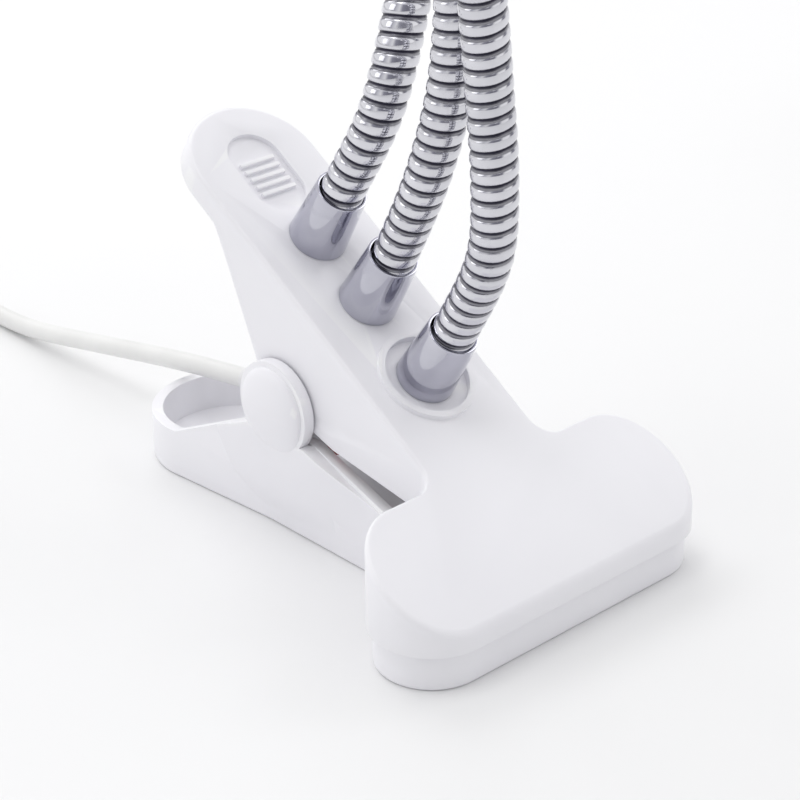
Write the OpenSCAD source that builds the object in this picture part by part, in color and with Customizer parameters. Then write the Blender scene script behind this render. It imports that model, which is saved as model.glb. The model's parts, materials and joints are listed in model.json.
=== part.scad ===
// Three-head clip-on reading lamp: a sprung jaw clip carries three goosenecks, each with its
// own shaded head. Millimetres. X runs along the clip's pivot, the jaw points towards -Y, the
// squeeze handle towards +Y, and +Z is up. The origin is on the flat underside of the lower
// half, straight below the pivot.

/* [Clip] */
// Width of the jaw bar, across the clip
bar_w = 66; // [54:1:80]
// Depth of the jaw bar, front to back
bar_d = 20.5; // [17:0.5:25]
// Height of the lower half's jaw bar, up to the mouth
bar_h = 6; // [5:0.1:7.5]
// Open seam between the two jaw bars when the jaw is shut
seam = 0.6; // [0.4:0.1:1]
// How far the lower jaw bar stands back inside the upper one, all round
bar_step = 1; // [0.5:0.1:1.5]
// Height of the top plate's front edge above the table
front_h = 10; // [9:0.5:12]
// Slope of the top plate, in degrees
slope = 32.5; // [28:0.5:36]
// Length of the top plate, from jaw tip to handle end, along its slope
plate_len = 103; // [86:1:124]
// Width of the body behind the jaw bar
body_w = 25; // [21:0.5:30]
// Width of the lower half's tray at its rear
tray_w = 29; // [24.5:0.5:35]
// How far the tray's rear end stands behind the pivot
tray_rear = 44; // [38:1:52]
// Height of the tray's rear rim
rim_h = 9; // [7.5:0.5:11]
// Thickness of the moulded side walls
wall = 2; // [1.6:0.1:2.4]
// Thickness of the top plate
plate_t = 2.2; // [1.8:0.1:2.8]
// Thickness of the tray floor
floor_t = 2.2; // [1.8:0.1:2.8]
// Radius of the hollow corner where the body meets the jaw bar
neck_fillet = 4; // [2:0.5:5]
// Height of the rim band round the handle end
band_h = 4.2; // [3.5:0.1:6]

/* [Pivot and spring] */
// Distance from the jaw tip back to the pivot
jaw_reach = 57; // [50:1:62]
// Height of the pivot above the table
pivot_h = 24; // [22:0.5:27]
// Radius of the pivot pin
pin_r = 1.5; // [1.2:0.05:1.8]
// Running clearance round the pivot pin, on the radius
pin_gap = 0.05; // [0.02:0.01:0.1]
// Radius of the round ears on the lower half
hub_r = 8.3; // [7.8:0.1:9]
// Thickness of each outer ear
ear_t = 2; // [1.6:0.1:2.6]
// Radius of the upper half's inner ears
inner_ear_r = 7; // [6:0.1:7.4]
// Side clearance between the halves, and round the inner ears
half_gap = 0.4; // [0.3:0.05:0.6]
// Height of the domed pivot caps
cap_h = 2.2; // [1.6:0.1:2.6]
// Wire radius of the torsion spring
spring_wire_r = 0.7; // [0.5:0.05:0.9]
// Middle radius of the spring's coil
spring_r = 4.3; // [3.6:0.1:4.6]
// Turns in the spring's coil
spring_turns = 10; // [6:1:10]

/* [Jaw pads] */
// Thickness of the rubber jaw pads
pad_t = 1.6; // [1.2:0.1:2]
// How far each pad stands proud of its jaw bar
pad_proud = 0.15; // [0.05:0.05:0.2]
// Margin of jaw bar left round each pad
pad_margin = 2.2; // [1.6:0.1:3]
// Clearance round each pad in its recess
pad_gap = 0.1; // [0.05:0.05:0.2]

/* [Handle dish] */
// Length of the oval finger dish
dish_len = 17; // [12:0.5:20]
// Width of the oval finger dish
dish_w = 10; // [7:0.5:13]
// Depth of the finger dish
dish_depth = 0.9; // [0.5:0.1:1.2]
// Distance from the jaw tip to the middle of the dish
dish_s = 88; // [84:0.5:89]
// Number of grip ribs in the dish
dish_ribs = 5; // [3:1:6]

/* [Goosenecks] */
// Outside radius of the gooseneck
neck_r = 3.75; // [3.2:0.05:4.5]
// Wall of the wound gooseneck tube
neck_wall = 1.5; // [1:0.1:2]
// Free gap at a bending point, filled by a core bead
bend_gap = 2.2; // [2.2:0.1:2.6]
// Distance from the jaw tip to the rear, middle and front ferrules, along the top plate
ferrule_s = [73, 58.5, 42]; // [30:0.5:80]
// Height of a ferrule above the top plate
ferrule_h = 12; // [10:0.5:15]
// Wall of the ferrule at its top rim
ferrule_wall = 0.6; // [0.4:0.1:1]
// Extra radius at the ferrule's foot
ferrule_flare = 0.7; // [0.3:0.1:1.2]
// Depth of the gooseneck's socket in a ferrule
socket_d = 4; // [3:0.5:6]
// Press allowance between gooseneck and socket, on the radius
socket_gap = 0.05; // [0.02:0.01:0.1]
// Radius of the threaded stud under a ferrule
stud_r = 3; // [2.5:0.1:3.5]
// Radius of the wire hole through a ferrule
wire_hole_r = 1.6; // [1.2:0.1:1.9]
// Radius of the raised ring round the front ferrule
ring_r = 8.6; // [7.8:0.1:9.5]

/* [Heads] */
// Outside radius of a shade at its mouth
shade_r = 21; // [17:0.5:25]
// Length of a shade
shade_len = 46; // [38:1:55]
// Wall of a shade
shade_wall = 1.4; // [1:0.1:2]
// Radius of a shade's rear barrel
barrel_r = 10; // [8.5:0.5:12]

/* [Cord] */
// Outside radius of the cord
cord_r = 1.8; // [1.8:0.1:2]
// Middle radius of the stored coil of cord
coil_r = 21.5; // [20.5:0.1:22.5]

/* [Hidden] */
$fn = 64;

WHITE = [0.93, 0.93, 0.95];
CHROME = [0.75, 0.76, 0.8];
REAR = 0;
MIDDLE = 1;
FRONT = 2;
tip_y = -jaw_reach;
far = 200;                       // reach of the blocks that trim a shape
half_w = body_w / 2;
bar_back = tip_y + bar_d;
round_s = plate_len - half_w;    // middle of the handle's round end, along the slope
tray_round_y = tray_rear - tray_w / 2;
ear_x = half_w + half_gap;       // inner face of an outer ear
ear_outer_x = ear_x + ear_t;
recess_r = inner_ear_r + half_gap;
mouth_z = bar_h + seam;          // underside of the upper jaw bar
ferrule_top_r = neck_r + socket_gap + ferrule_wall;
ferrule_foot_r = ferrule_top_r + ferrule_flare;

// Route of each gooseneck from the top of its ferrule, as steps in X, Y and Z
NECK_ROUTES = [
    [[2.2, -7.4, 15.5], [6.8, -8.4, 31.5], [14, -6, 51], [23, -2, 73], [33, 2, 97],
        [43, 6, 122], [54, 10, 146], [67, 14, 163], [83, 18, 169], [97, 22, 160]],
    [[0.5, -8.2, 17.5], [1.6, -12, 34], [1.5, -12.5, 53], [-3, -9, 77], [-9, -1, 102],
        [-15, 10, 128], [-22, 22, 153], [-30, 36, 171], [-39, 53, 178], [-47, 68, 171]],
    [[-0.5, -8.4, 15.6], [-2.1, -11, 30], [-4, -11.3, 47], [-8, -13, 70], [-13, -18, 95],
        [-19, -26, 120], [-25, -36, 144], [-32, -48, 162], [-40, -62, 168], [-48, -75, 159]]];
BEND_LOW = 5;                    // route point at the lower bend
BEND_HIGH = 8;                   // route point at the upper bend

// Route of the cord: out of the grommet, over the tray rim, down to the table, to the switch
CORD_Z = 1.9;
SWITCH_Z = 4.4;
GROMMET_START = [0, 5.6, 18.7];
CORD_EXIT = [0, 25, 15.6];
TO_SWITCH = [CORD_EXIT, [0, 30, 14.8], [0, 38, 13.5], [0, 45, 12.2], [0, 53, 10.6],
    [0, 62, 8.7], [0, 71, 6.8], [0, 79, 5.1], [0, 87, 3.5], [0, 94, 2.4], [0, 101, CORD_Z],
    [0, 107, CORD_Z], [-1, 113, CORD_Z], [-4, 120, 2.4], [-7, 127, 3.6], [-8, 133, SWITCH_Z],
    [-8, 138, SWITCH_Z]];
TO_COIL = [[-8, 186, SWITCH_Z], [-8, 190, SWITCH_Z], [-8.1, 197, 3.6], [-8.2, 204, 2.5],
    [-8.3, 211, CORD_Z], [-8.3, 218, CORD_Z]];
COIL_AT = [-35.8, 224];
TAIL = [[-53.5, 216, 13], [-54, 208, 12.6], [-55, 201, 10.8], [-56.4, 194, 8.2],
    [-57.5, 187, 6.2], [-58, 179, 5], [-58, 172, 5]];
SWITCH_Y = [138, 186];
SWITCH_W = 17;
SWITCH_H = 10;
SWITCH_X = -8;
PLUG_END = TAIL[len(TAIL) - 1];
PLUG_W = 15;
PLUG_H = 8;
PLUG_LEN = 26;
switch_mid_y = (SWITCH_Y[0] + SWITCH_Y[1]) / 2;
switch_len = SWITCH_Y[1] - SWITCH_Y[0];
switch_corner_r = 5;
switch_wall = 1.5;
button_r = 4;
coil_h = 15;                     // four layers of cord
coil_half_w = 7.8;               // three turns and a half beside each other
coil_in = coil_r - coil_half_w;
coil_out = coil_r + coil_half_w;

// Post in the tray that holds the cord's grommet, and its two screws
post_y = 9.5;
post_t = 3;
post_half = 6.4;
post_top = 18;
grommet_r = 2.5;
screw_x = 4.7;
screw_r = 0.8;
corner_lap = 0.1;                // how far a hollow corner laps into the walls it joins
ring_sink = 0.4;                 // depth of the floor inside the front ferrule's ring
thread_gap = 0.1;                // clearance round a stud in its hole
shade_z = 7;                     // where a shade starts, along its head's axis
mouth_len = shade_z + shade_len;
board_z = shade_z + 17;
lens_z = mouth_len - 3.2;
bezel_z = mouth_len - 1.7;

function unit(v) = v / norm(v);
GROMMET_DIR = unit(CORD_EXIT - GROMMET_START);
function plate_point(s, h) =
    [0, tip_y + s * cos(slope) - h * sin(slope), front_h + s * sin(slope) + h * cos(slope)];
function neck_points(i) = concat(
    [plate_point(ferrule_s[i], ferrule_h - socket_d + 0.2), plate_point(ferrule_s[i], ferrule_h + 2)],
    [for (p = NECK_ROUTES[i]) plate_point(ferrule_s[i], ferrule_h) + p]);

// Point and direction at parameter t on a smooth curve through all the points
function ghost(p, k) = k < 0 ? 2 * p[0] - p[1]
    : k >= len(p) ? 2 * p[len(p) - 1] - p[len(p) - 2] : p[k];
function span(p, t) = min(floor(t), len(p) - 2);
function spline(p, t) = let (k = span(p, t), u = t - k, a = ghost(p, k - 1), b = p[k],
        c = p[k + 1], d = ghost(p, k + 2))
    0.5 * (2 * b + (c - a) * u + (2 * a - 5 * b + 4 * c - d) * u * u
        + (3 * b - a - 3 * c + d) * u * u * u);
function heading(p, t) = let (k = span(p, t), u = t - k, a = ghost(p, k - 1), b = p[k],
        c = p[k + 1], d = ghost(p, k + 2))
    unit((c - a) + 2 * (2 * a - 5 * b + 4 * c - d) * u + 3 * (3 * b - a - 3 * c + d) * u * u);
// Parameter a given distance before or after a route point
function beyond(p, k, d) = k + d / norm(spline(p, k + sign(d) * 0.5) - spline(p, k)) * 0.5;

// One ring of points square to the curve, a tube's outer or inner outline
function ring(at, dir, r, sides, side) = let (u = unit(cross(side, dir)), v = cross(dir, u))
    [for (i = [0:sides - 1]) at + r * (cos(360 * i / sides) * u + sin(360 * i / sides) * v)];
function quads(n, rings, first, flip) = [for (j = [0:rings - 2], i = [0:n - 1])
    let (a = first + j * n + i, b = first + j * n + (i + 1) % n)
    flip ? [a, a + n, b + n, b] : [a, b, b + n, a + n]];

// A solid tube swept along the points at the given parameters
module rod(p, ts, r, sides = 8, side = [0, 0, 1]) {
    rings = [for (t = ts) ring(spline(p, t), heading(p, t), r, sides, side)];
    last = (len(ts) - 1) * sides;
    polyhedron(
        points = [for (q = rings) for (v = q) v],
        faces = concat(
            [[for (i = [0:sides - 1]) i]],
            quads(sides, len(ts), 0, true),
            [[for (i = [sides - 1:-1:0]) last + i]]),
        convexity = 8);
}

// A hollow tube swept along the points at the given parameters
module pipe(p, ts, r_out, r_in, sides = 12, side = [1, 0, 0]) {
    outer = [for (t = ts) for (v = ring(spline(p, t), heading(p, t), r_out, sides, side)) v];
    inner = [for (t = ts) for (v = ring(spline(p, t), heading(p, t), r_in, sides, side)) v];
    n = len(outer);
    last = n - sides;
    polyhedron(
        points = concat(outer, inner),
        faces = concat(
            quads(sides, len(ts), 0, true),
            quads(sides, len(ts), n, false),
            [for (i = [0:sides - 1]) [i, (i + 1) % sides, n + (i + 1) % sides, n + i]],
            [for (i = [0:sides - 1])
                [last + i, n + last + i, n + last + (i + 1) % sides, last + (i + 1) % sides]]),
        convexity = 8);
}

function steps(a, b, n) = [for (i = [0:n]) a + (b - a) * i / n];

// Turns +Z towards a direction and moves there
module aimed(at, dir) {
    translate(at)
        rotate([0, acos(dir[2]), atan2(dir[1], dir[0])])
            children();
}

// Frame of the sloping top plate: x across, y along the slope from the jaw tip, z outwards
module on_plate() {
    translate([0, tip_y, front_h])
        rotate([slope, 0, 0])
            children();
}

// Everything under the outside of the top plate, less a given depth
module under_plate(depth) {
    on_plate()
        translate([-far, -far, -2 * far - depth])
            cube([2 * far, 2 * far, 2 * far]);
}

// Extrudes a side-view outline (y, z) across the clip between two x values
module across(x0, x1) {
    translate([x0, 0, 0])
        rotate([90, 0, 90])
            linear_extrude(x1 - x0)
                children();
}

// Round-ended plan of a jaw bar, drawn in by a margin
module bar_plan(inset) {
    r = bar_d / 2 - inset;
    mid_y = tip_y + bar_d / 2;
    end_x = bar_w / 2 - bar_d / 2;
    translate([-end_x, mid_y - r])
        square([2 * end_x, 2 * r]);
    for (side = [-1, 1])
        translate([side * end_x, mid_y])
            circle(r);
}

// Hollow corners between the jaw bar and the body, lapped a little into both
module corner_plan(y) {
    reach = neck_fillet + 1;
    for (side = [-1, 1])
        difference() {
            translate([side * (half_w - 1 + reach / 2), y - 1 + reach / 2])
                square([reach, reach], center = true);
            translate([side * (half_w + neck_fillet - corner_lap), y + neck_fillet - corner_lap])
                circle(neck_fillet);
        }
}

// Plan of the sloping body and round handle, in the plate's own frame
module handle_plan(inset) {
    translate([-half_w + inset, bar_d / 2])
        square([body_w - 2 * inset, round_s - bar_d / 2]);
    translate([0, round_s])
        circle(half_w - inset);
}

// Plan of the tray, which widens a little towards its round rear end
module tray_plan(inset) {
    rear_w = tray_w / 2 - inset;
    polygon([[-half_w + inset, bar_back - 1], [half_w - inset, bar_back - 1],
        [half_w - inset, 3], [rear_w, tray_round_y], [-rear_w, tray_round_y],
        [-half_w + inset, 3]]);
    translate([0, tray_round_y])
        circle(rear_w);
}

// Side view of what the upper half's walls fill, with a sweep up to the thin handle band
function bezier(a, b, c, t) = (1 - t) * (1 - t) * a + 2 * t * (1 - t) * b + t * t * c;
module upper_side() {
    band_start = plate_point(plate_len * 0.82, -band_h);
    band_end = plate_point(plate_len + 20, -band_h);
    ear_top = [inner_ear_r * 0.8, pivot_h + 4];
    sweep_mid = [ear_top[0] + 9.5, pivot_h + 26];
    polygon(concat(
        [[tip_y + 1, far], [tip_y + 1, mouth_z], [bar_back - 3, mouth_z], [bar_back - 3, mouth_z + 9.2],
            [bar_back + 4, mouth_z + 10.4], [-12.5, pivot_h - 4], [0, pivot_h]],
        [for (t = [0:0.125:1])
            bezier(ear_top, sweep_mid, [band_start[1], band_start[2]], t)],
        [[band_end[1], band_end[2]], [band_end[1], far]]));
    translate([0, pivot_h])
        circle(inner_ear_r);
}

// Side view of the lower half's walls: rises to the pivot, drops to the tray rim
module lower_side() {
    rise_y = bar_back + neck_fillet + 0.8;
    difference() {
        polygon([[bar_back - 2, 0], [bar_back - 2, bar_h], [rise_y, bar_h], [rise_y, bar_h + 5],
            [-7.7, pivot_h - 5], [6, pivot_h - 4.5], [28, rim_h], [tray_rear + 1, rim_h],
            [tray_rear + 1, 0]]);
        translate([0, pivot_h])
            circle(recess_r);
    }
}

// A round piece on the grommet's axis, a given distance from its inner end
module along_grommet(start, length, r1, r2) {
    aimed(GROMMET_START + GROMMET_DIR * start, GROMMET_DIR)
        cylinder(length, r1, r2);
}

// Fairing that carries an outer ear and fades down and outwards into the tray wall
module ear_root(side) {
    inner = half_w - wall / 2;
    outer = ear_outer_x - 0.1;
    shoulder = pivot_h - recess_r - 0.5;
    scale([side, 1, 1])
        hull() {
            translate([inner, -hub_r + 0.8, shoulder - 1])
                cube([outer - inner, 2 * hub_r - 1.6, 1]);
            translate([inner, -2 * hub_r, 3])
                cube([half_w - 0.05 - inner, 4 * hub_r, 1]);
        }
}

module lower_jaw() {
    pocket_w = (bar_w - bar_d) / 4 - 1.5;
    color(WHITE) {
        difference() {
            union() {
                linear_extrude(bar_h) {
                    bar_plan(bar_step);
                    corner_plan(bar_back - bar_step);
                }
                intersection() {
                    linear_extrude(far)
                        tray_plan(0);
                    across(-far, far)
                        lower_side();
                }
            }
            // Hollow of the tray
            translate([0, 0, floor_t])
                linear_extrude(far)
                    intersection() {
                        tray_plan(wall);
                        translate([-far, bar_back + wall])
                            square([2 * far, far]);
                    }
            // Pockets under the jaw bar that save plastic
            for (i = [-2:1])
                translate([i * (pocket_w + 1.5) + 0.75, tip_y + 4, -1])
                    cube([pocket_w, bar_d - 8, 2.6]);
            // Seat of the jaw pad
            translate([0, 0, bar_h + pad_proud - pad_t])
                linear_extrude(far)
                    bar_plan(bar_step + pad_margin - pad_gap);
        }
        // Outer ears with blind sockets for the pin's ends
        for (side = [-1, 1])
            difference() {
                union() {
                    translate([side * (ear_x + ear_t / 2), 0, pivot_h])
                        rotate([0, 90, 0])
                            cylinder(ear_t, r = hub_r, center = true);
                    ear_root(side);
                }
                translate([0, 0, pivot_h])
                    rotate([0, 90, 0])
                        cylinder(2 * ear_x, r = recess_r, center = true);
                translate([0, 0, pivot_h])
                    rotate([0, 90, 0])
                        cylinder(2 * far, r = pin_r, center = true);
            }
        // Post for the cord's grommet
        difference() {
            translate([-post_half, post_y, floor_t - 0.1])
                cube([2 * post_half, post_t, post_top - floor_t + 0.1]);
            along_grommet(-4, 20, grommet_r, grommet_r);
            for (side = [-1, 1])
                translate([side * screw_x, post_y + post_t / 2, post_top - 5])
                    cylinder(10, r = screw_r);
        }
    }
}

module upper_jaw() {
    color(WHITE)
        difference() {
            union() {
                intersection() {
                    translate([0, 0, mouth_z])
                        linear_extrude(far)
                            union() {
                                bar_plan(0);
                                corner_plan(bar_back);
                            }
                    under_plate(0);
                }
                intersection() {
                    on_plate()
                        translate([0, 0, -far])
                            linear_extrude(far)
                                handle_plan(0);
                    across(-far, far)
                        upper_side();
                }
                // Raised ring round the front ferrule
                on_plate()
                    translate([0, ferrule_s[FRONT], -1])
                        cylinder(1.9, r = ring_r);
            }
            // Hollow under the plate
            intersection() {
                under_plate(plate_t);
                on_plate()
                    translate([0, 0, -far])
                        linear_extrude(far)
                            handle_plan(wall);
                translate([-far, bar_back + 1, 0])
                    cube([2 * far, 2 * far, far]);
            }
            // Hollow of the jaw bar above its pad
            intersection() {
                under_plate(plate_t);
                translate([0, 0, mouth_z])
                    linear_extrude(far)
                        bar_plan(pad_margin + 1.2);
            }
            // Seat of the jaw pad
            translate([0, 0, mouth_z - 1])
                linear_extrude(pad_t - pad_proud + 1)
                    bar_plan(pad_margin - pad_gap);
            // Floor inside the raised ring
            on_plate()
                translate([0, ferrule_s[FRONT], -ring_sink])
                    cylinder(far, r = ring_r - 1.2);
            // Holes for the ferrule studs
            for (s = ferrule_s)
                on_plate()
                    translate([0, s, -plate_t - 1])
                        cylinder(plate_t + 2, r = stud_r + thread_gap);
            // Pin holes through the inner ears
            translate([0, 0, pivot_h])
                rotate([0, 90, 0])
                    cylinder(2 * far, r = pin_r + pin_gap, center = true);
            // Oval finger dish
            on_plate()
                translate([0, dish_s, -dish_depth])
                    dish(dish_w / 2);
        }
    // Grip ribs in the dish
    color(WHITE)
        on_plate()
            for (i = [0:dish_ribs - 1])
                translate([0, dish_s - 0.5 + (i - (dish_ribs - 1) / 2) * 1.65, -dish_depth - 0.1])
                    translate([-dish_w * 0.36, -0.35, 0])
                        cube([dish_w * 0.72, 0.7, 0.8]);
}

module dish(r) {
    run = dish_len / 2 - r;
    for (side = [-1, 1])
        translate([0, side * run, 0])
            cylinder(10, r = r);
    translate([-r, -run, 0])
        cube([2 * r, 2 * run, 10]);
}

module pad(z, up) {
    color([0.35, 0.36, 0.38])
        difference() {
            translate([0, 0, z])
                linear_extrude(pad_t)
                    bar_plan(pad_margin + (up ? 0 : bar_step));
            for (y = [tip_y + 5:2.1:bar_back - 4.5])
                translate([-far, y, up ? z - 1 : z + pad_t - 0.4])
                    cube([2 * far, 0.8, 1.4]);
        }
}
module jaw_pad_lower() {
    pad(bar_h + pad_proud - pad_t, false);
}
module jaw_pad_upper() {
    pad(mouth_z - pad_proud, true);
}

module pivot_pin() {
    color(CHROME)
        translate([0, 0, pivot_h])
            rotate([0, 90, 0])
                cylinder(2 * ear_outer_x - 0.4, r = pin_r, center = true);
}

// Domed cover pressed on the outside of an ear
module pivot_cap(side) {
    r = hub_r - 0.9;
    ball_r = (r * r + cap_h * cap_h) / (2 * cap_h);
    color(WHITE)
        translate([side * ear_outer_x, 0, pivot_h])
            rotate([0, side * 90, 0])
                intersection() {
                    translate([0, 0, cap_h - ball_r])
                        sphere(ball_r, $fn = 96);
                    cylinder(cap_h + 1, r = r);
                }
}
module pivot_cap_left() {
    pivot_cap(-1);
}
module pivot_cap_right() {
    pivot_cap(1);
}

// Torsion spring round the pin, with one leg on the tray floor and one under the plate
module torsion_spring() {
    coil_half = spring_turns * 1.6 / 2;
    low_end = [-coil_half - 0.1, 26, floor_t + spring_wire_r + 0.4];
    high_y = 16;
    high_z = front_h + (high_y - tip_y) * tan(slope) - (plate_t + spring_wire_r + 0.4) / cos(slope);
    high_end = [coil_half + 0.1, high_y, high_z];
    per_turn = 12;
    coil = [for (i = [0:(spring_turns - 1) * per_turn + 4])
        let (a = -90 - 360 * i / per_turn)
        [-coil_half + 1.6 * i / per_turn, spring_r * cos(a), pivot_h + spring_r * sin(a)]];
    path = concat([low_end, low_end + [0, -9, 3.4]], coil, [high_end - [0, 6, 11], high_end]);
    color([0.55, 0.56, 0.58])
        rod(path, steps(0, len(path) - 1, len(path) - 1), spring_wire_r, 6, [1, 0, 0.02]);
}

module cord_clamp() {
    color([0.8, 0.8, 0.82])
        difference() {
            translate([-post_half, post_y, post_top + 0.1])
                cube([2 * post_half, post_t, 3.4]);
            along_grommet(-4, 20, grommet_r + 0.05, grommet_r + 0.05);
            for (side = [-1, 1])
                translate([side * screw_x, post_y + post_t / 2, post_top - 1])
                    cylinder(10, r = screw_r + 0.15);
        }
}

module clamp_screws() {
    color(CHROME)
        for (side = [-1, 1])
            translate([side * screw_x, post_y + post_t / 2, 0]) {
                translate([0, 0, post_top - 4.5])
                    cylinder(8.2, r = screw_r - 0.02);
                difference() {
                    translate([0, 0, post_top + 3.6])
                        cylinder(0.9, r = 1.4);
                    translate([0, 0, post_top + 4.5])
                        cube([2.2, 0.4, 0.8], center = true);
                }
            }
}

// Two supply leads inside the clip, from the grommet to the ferrule studs
function stud_end(i) = plate_point(ferrule_s[i], -plate_t - 5.6);
module lead(points, tint) {
    color(tint)
        rod(points, steps(0, len(points) - 1, 4 * (len(points) - 1)), 0.65, 8, [1, 0, 0.1]);
}
module lead_red() {
    lead([[-2.2, 6, 16.2], [-3.4, 0, 16.4], [-6.8, -5, 16.8], [-9.3, -9.8, 17.7],
        [-9.2, -14, 19.8], [-7.5, -18, 23.5], stud_end(FRONT) + [-1, 1.5, -1.8], stud_end(FRONT) + [-0.6, 0, -0.4]],
        [0.75, 0.08, 0.1]);
}
module lead_black() {
    lead([[2.2, 6, 16.2], [3.4, 0, 16.6], [6.2, -6.5, 17.6], [8.6, -9.5, 22], [7.5, -9, 28],
        stud_end(MIDDLE) + [2.5, -3, -2], stud_end(MIDDLE) + [0.6, 0, -0.5]],
        [0.06, 0.06, 0.08]);
}

// Chrome ferrule: tapered socket above the plate, threaded stud below it
module ferrule(i) {
    sink = i == FRONT ? ring_sink : 0;
    color(CHROME)
        on_plate()
            translate([0, ferrule_s[i], -sink])
                difference() {
                    union() {
                        cylinder(ferrule_h + sink, ferrule_foot_r, ferrule_top_r);
                        translate([0, 0, -plate_t - 5])
                            cylinder(plate_t + 5.2, r = stud_r);
                    }
                    translate([0, 0, ferrule_h + sink - socket_d])
                        cylinder(socket_d + 1, r = neck_r + socket_gap);
                    translate([0, 0, -plate_t - 6])
                        cylinder(ferrule_h + plate_t + 8, r = wire_hole_r);
                }
}
module ferrule_rear() {
    ferrule(REAR);
}
module ferrule_middle() {
    ferrule(MIDDLE);
}
module ferrule_front() {
    ferrule(FRONT);
}

module ferrule_washers() {
    color(CHROME)
        for (s = ferrule_s)
            on_plate()
                translate([0, s, -plate_t - 0.85])
                    difference() {
                        cylinder(0.8, r = stud_r + 3);
                        translate([0, 0, -1])
                            cylinder(3, r = stud_r + thread_gap);
                    }
}

module ferrule_nuts() {
    color([0.7, 0.66, 0.5])
        for (s = ferrule_s)
            on_plate()
                translate([0, s, -plate_t - 3.4])
                    difference() {
                        cylinder(2.5, r = (stud_r + 2) / cos(30), $fn = 6);
                        translate([0, 0, -1])
                            cylinder(5, r = stud_r + 0.05);
                    }
}

// One rigid length of gooseneck between two parameters of its route
module neck(i, from, to, n) {
    color(CHROME)
        pipe(neck_points(i), steps(from, to, n), neck_r, neck_r - neck_wall);
}
// Core bead that fills the gap at a bending point, and sits on the lower length's end
module bead(i, k) {
    p = neck_points(i);
    color(CHROME)
        aimed(p[k], heading(p, k))
            translate([0, 0, -bend_gap - 0.5])
                cylinder(bend_gap + 0.3, r = neck_r - neck_wall + 0.3);
}
module neck_foot(i) {
    neck(i, 0, beyond(neck_points(i), BEND_LOW, -bend_gap), 15);
    bead(i, BEND_LOW);
}
module neck_mid(i) {
    p = neck_points(i);
    neck(i, beyond(p, BEND_LOW, bend_gap), beyond(p, BEND_HIGH, -bend_gap), 9);
    bead(i, BEND_HIGH);
}
module neck_tip(i) {
    p = neck_points(i);
    neck(i, beyond(p, BEND_HIGH, bend_gap), len(p) - 1, 10);
}
module neck_rear_foot() {
    neck_foot(REAR);
}
module neck_rear_mid() {
    neck_mid(REAR);
}
module neck_rear_tip() {
    neck_tip(REAR);
}
module neck_middle_foot() {
    neck_foot(MIDDLE);
}
module neck_middle_mid() {
    neck_mid(MIDDLE);
}
module neck_middle_tip() {
    neck_tip(MIDDLE);
}
module neck_front_foot() {
    neck_foot(FRONT);
}
module neck_front_mid() {
    neck_mid(FRONT);
}
module neck_front_tip() {
    neck_tip(FRONT);
}

// Frame of a head: its axis runs on from the gooseneck's end, towards the shade's mouth
module on_head(i) {
    p = neck_points(i);
    aimed(p[len(p) - 1], heading(p, len(p) - 1))
        children();
}

function shade_outer(z) = z < 10 ? barrel_r
    : barrel_r + (shade_r - barrel_r) * (1 - cos(90 * (z - 10) / (shade_len - 10)));

module head_collar(i) {
    color(CHROME)
        on_head(i)
            difference() {
                union() {
                    translate([0, 0, -socket_d])
                        cylinder(socket_d + shade_z - 1.4, ferrule_top_r, ferrule_foot_r);
                    translate([0, 0, shade_z - 1.5])
                        cylinder(1.5, r = ferrule_foot_r + 1);
                    translate([0, 0, shade_z - 0.2])
                        cylinder(3.9, r = stud_r);
                }
                translate([0, 0, -socket_d - 1])
                    cylinder(socket_d + 1, r = neck_r + socket_gap);
                translate([0, 0, -1])
                    cylinder(far, r = wire_hole_r);
            }
}

module head_shade(i) {
    color(WHITE)
        on_head(i)
            translate([0, 0, shade_z])
                rotate_extrude()
                    polygon(concat(
                        [[stud_r + 0.1, 0], [barrel_r - 2, 0], [barrel_r, 2]],
                        [for (z = [10:4:shade_len - 0.1]) [shade_outer(z), z]],
                        [[shade_r, shade_len], [shade_r - shade_wall, shade_len]],
                        [for (z = [shade_len - 4:-4:10]) [shade_outer(z) - shade_wall, z]],
                        [[barrel_r - shade_wall, shade_wall], [stud_r + 0.1, shade_wall]]));
}

// Round circuit board with its light chip, on an aluminium disc
module head_board(i) {
    r = shade_outer(board_z - shade_z) - shade_wall - 0.2;
    color([0.9, 0.88, 0.75])
        on_head(i)
            translate([0, 0, board_z]) {
                cylinder(1.6, r = r);
                translate([0, 0, 1.5])
                    cylinder(0.9, r = 3.5);
            }
}

module head_reflector(i) {
    rim_r = shade_outer(shade_len - 4) - shade_wall - 0.6;
    color([0.85, 0.86, 0.88])
        on_head(i)
            translate([0, 0, board_z + 1.7])
                rotate_extrude()
                    polygon([[4, 0], [5, 0], [rim_r, mouth_len - board_z - 5.6],
                        [rim_r - 1, mouth_len - board_z - 5.6]]);
}

module head_lens(i) {
    color([0.95, 0.95, 0.9, 0.6])
        on_head(i)
            translate([0, 0, lens_z])
                cylinder(1.4, r = shade_outer(shade_len - 4) - shade_wall - 0.1);
}

module head_bezel(i) {
    plug_r = shade_outer(shade_len - 2) - shade_wall - 0.2;
    color(WHITE)
        on_head(i)
            translate([0, 0, bezel_z])
                difference() {
                    union() {
                        cylinder(1.8, r = plug_r);
                        translate([0, 0, 1.7])
                            cylinder(1, r = shade_r);
                    }
                    translate([0, 0, -1])
                        cylinder(5, r = plug_r - 1.7);
                }
}

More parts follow.
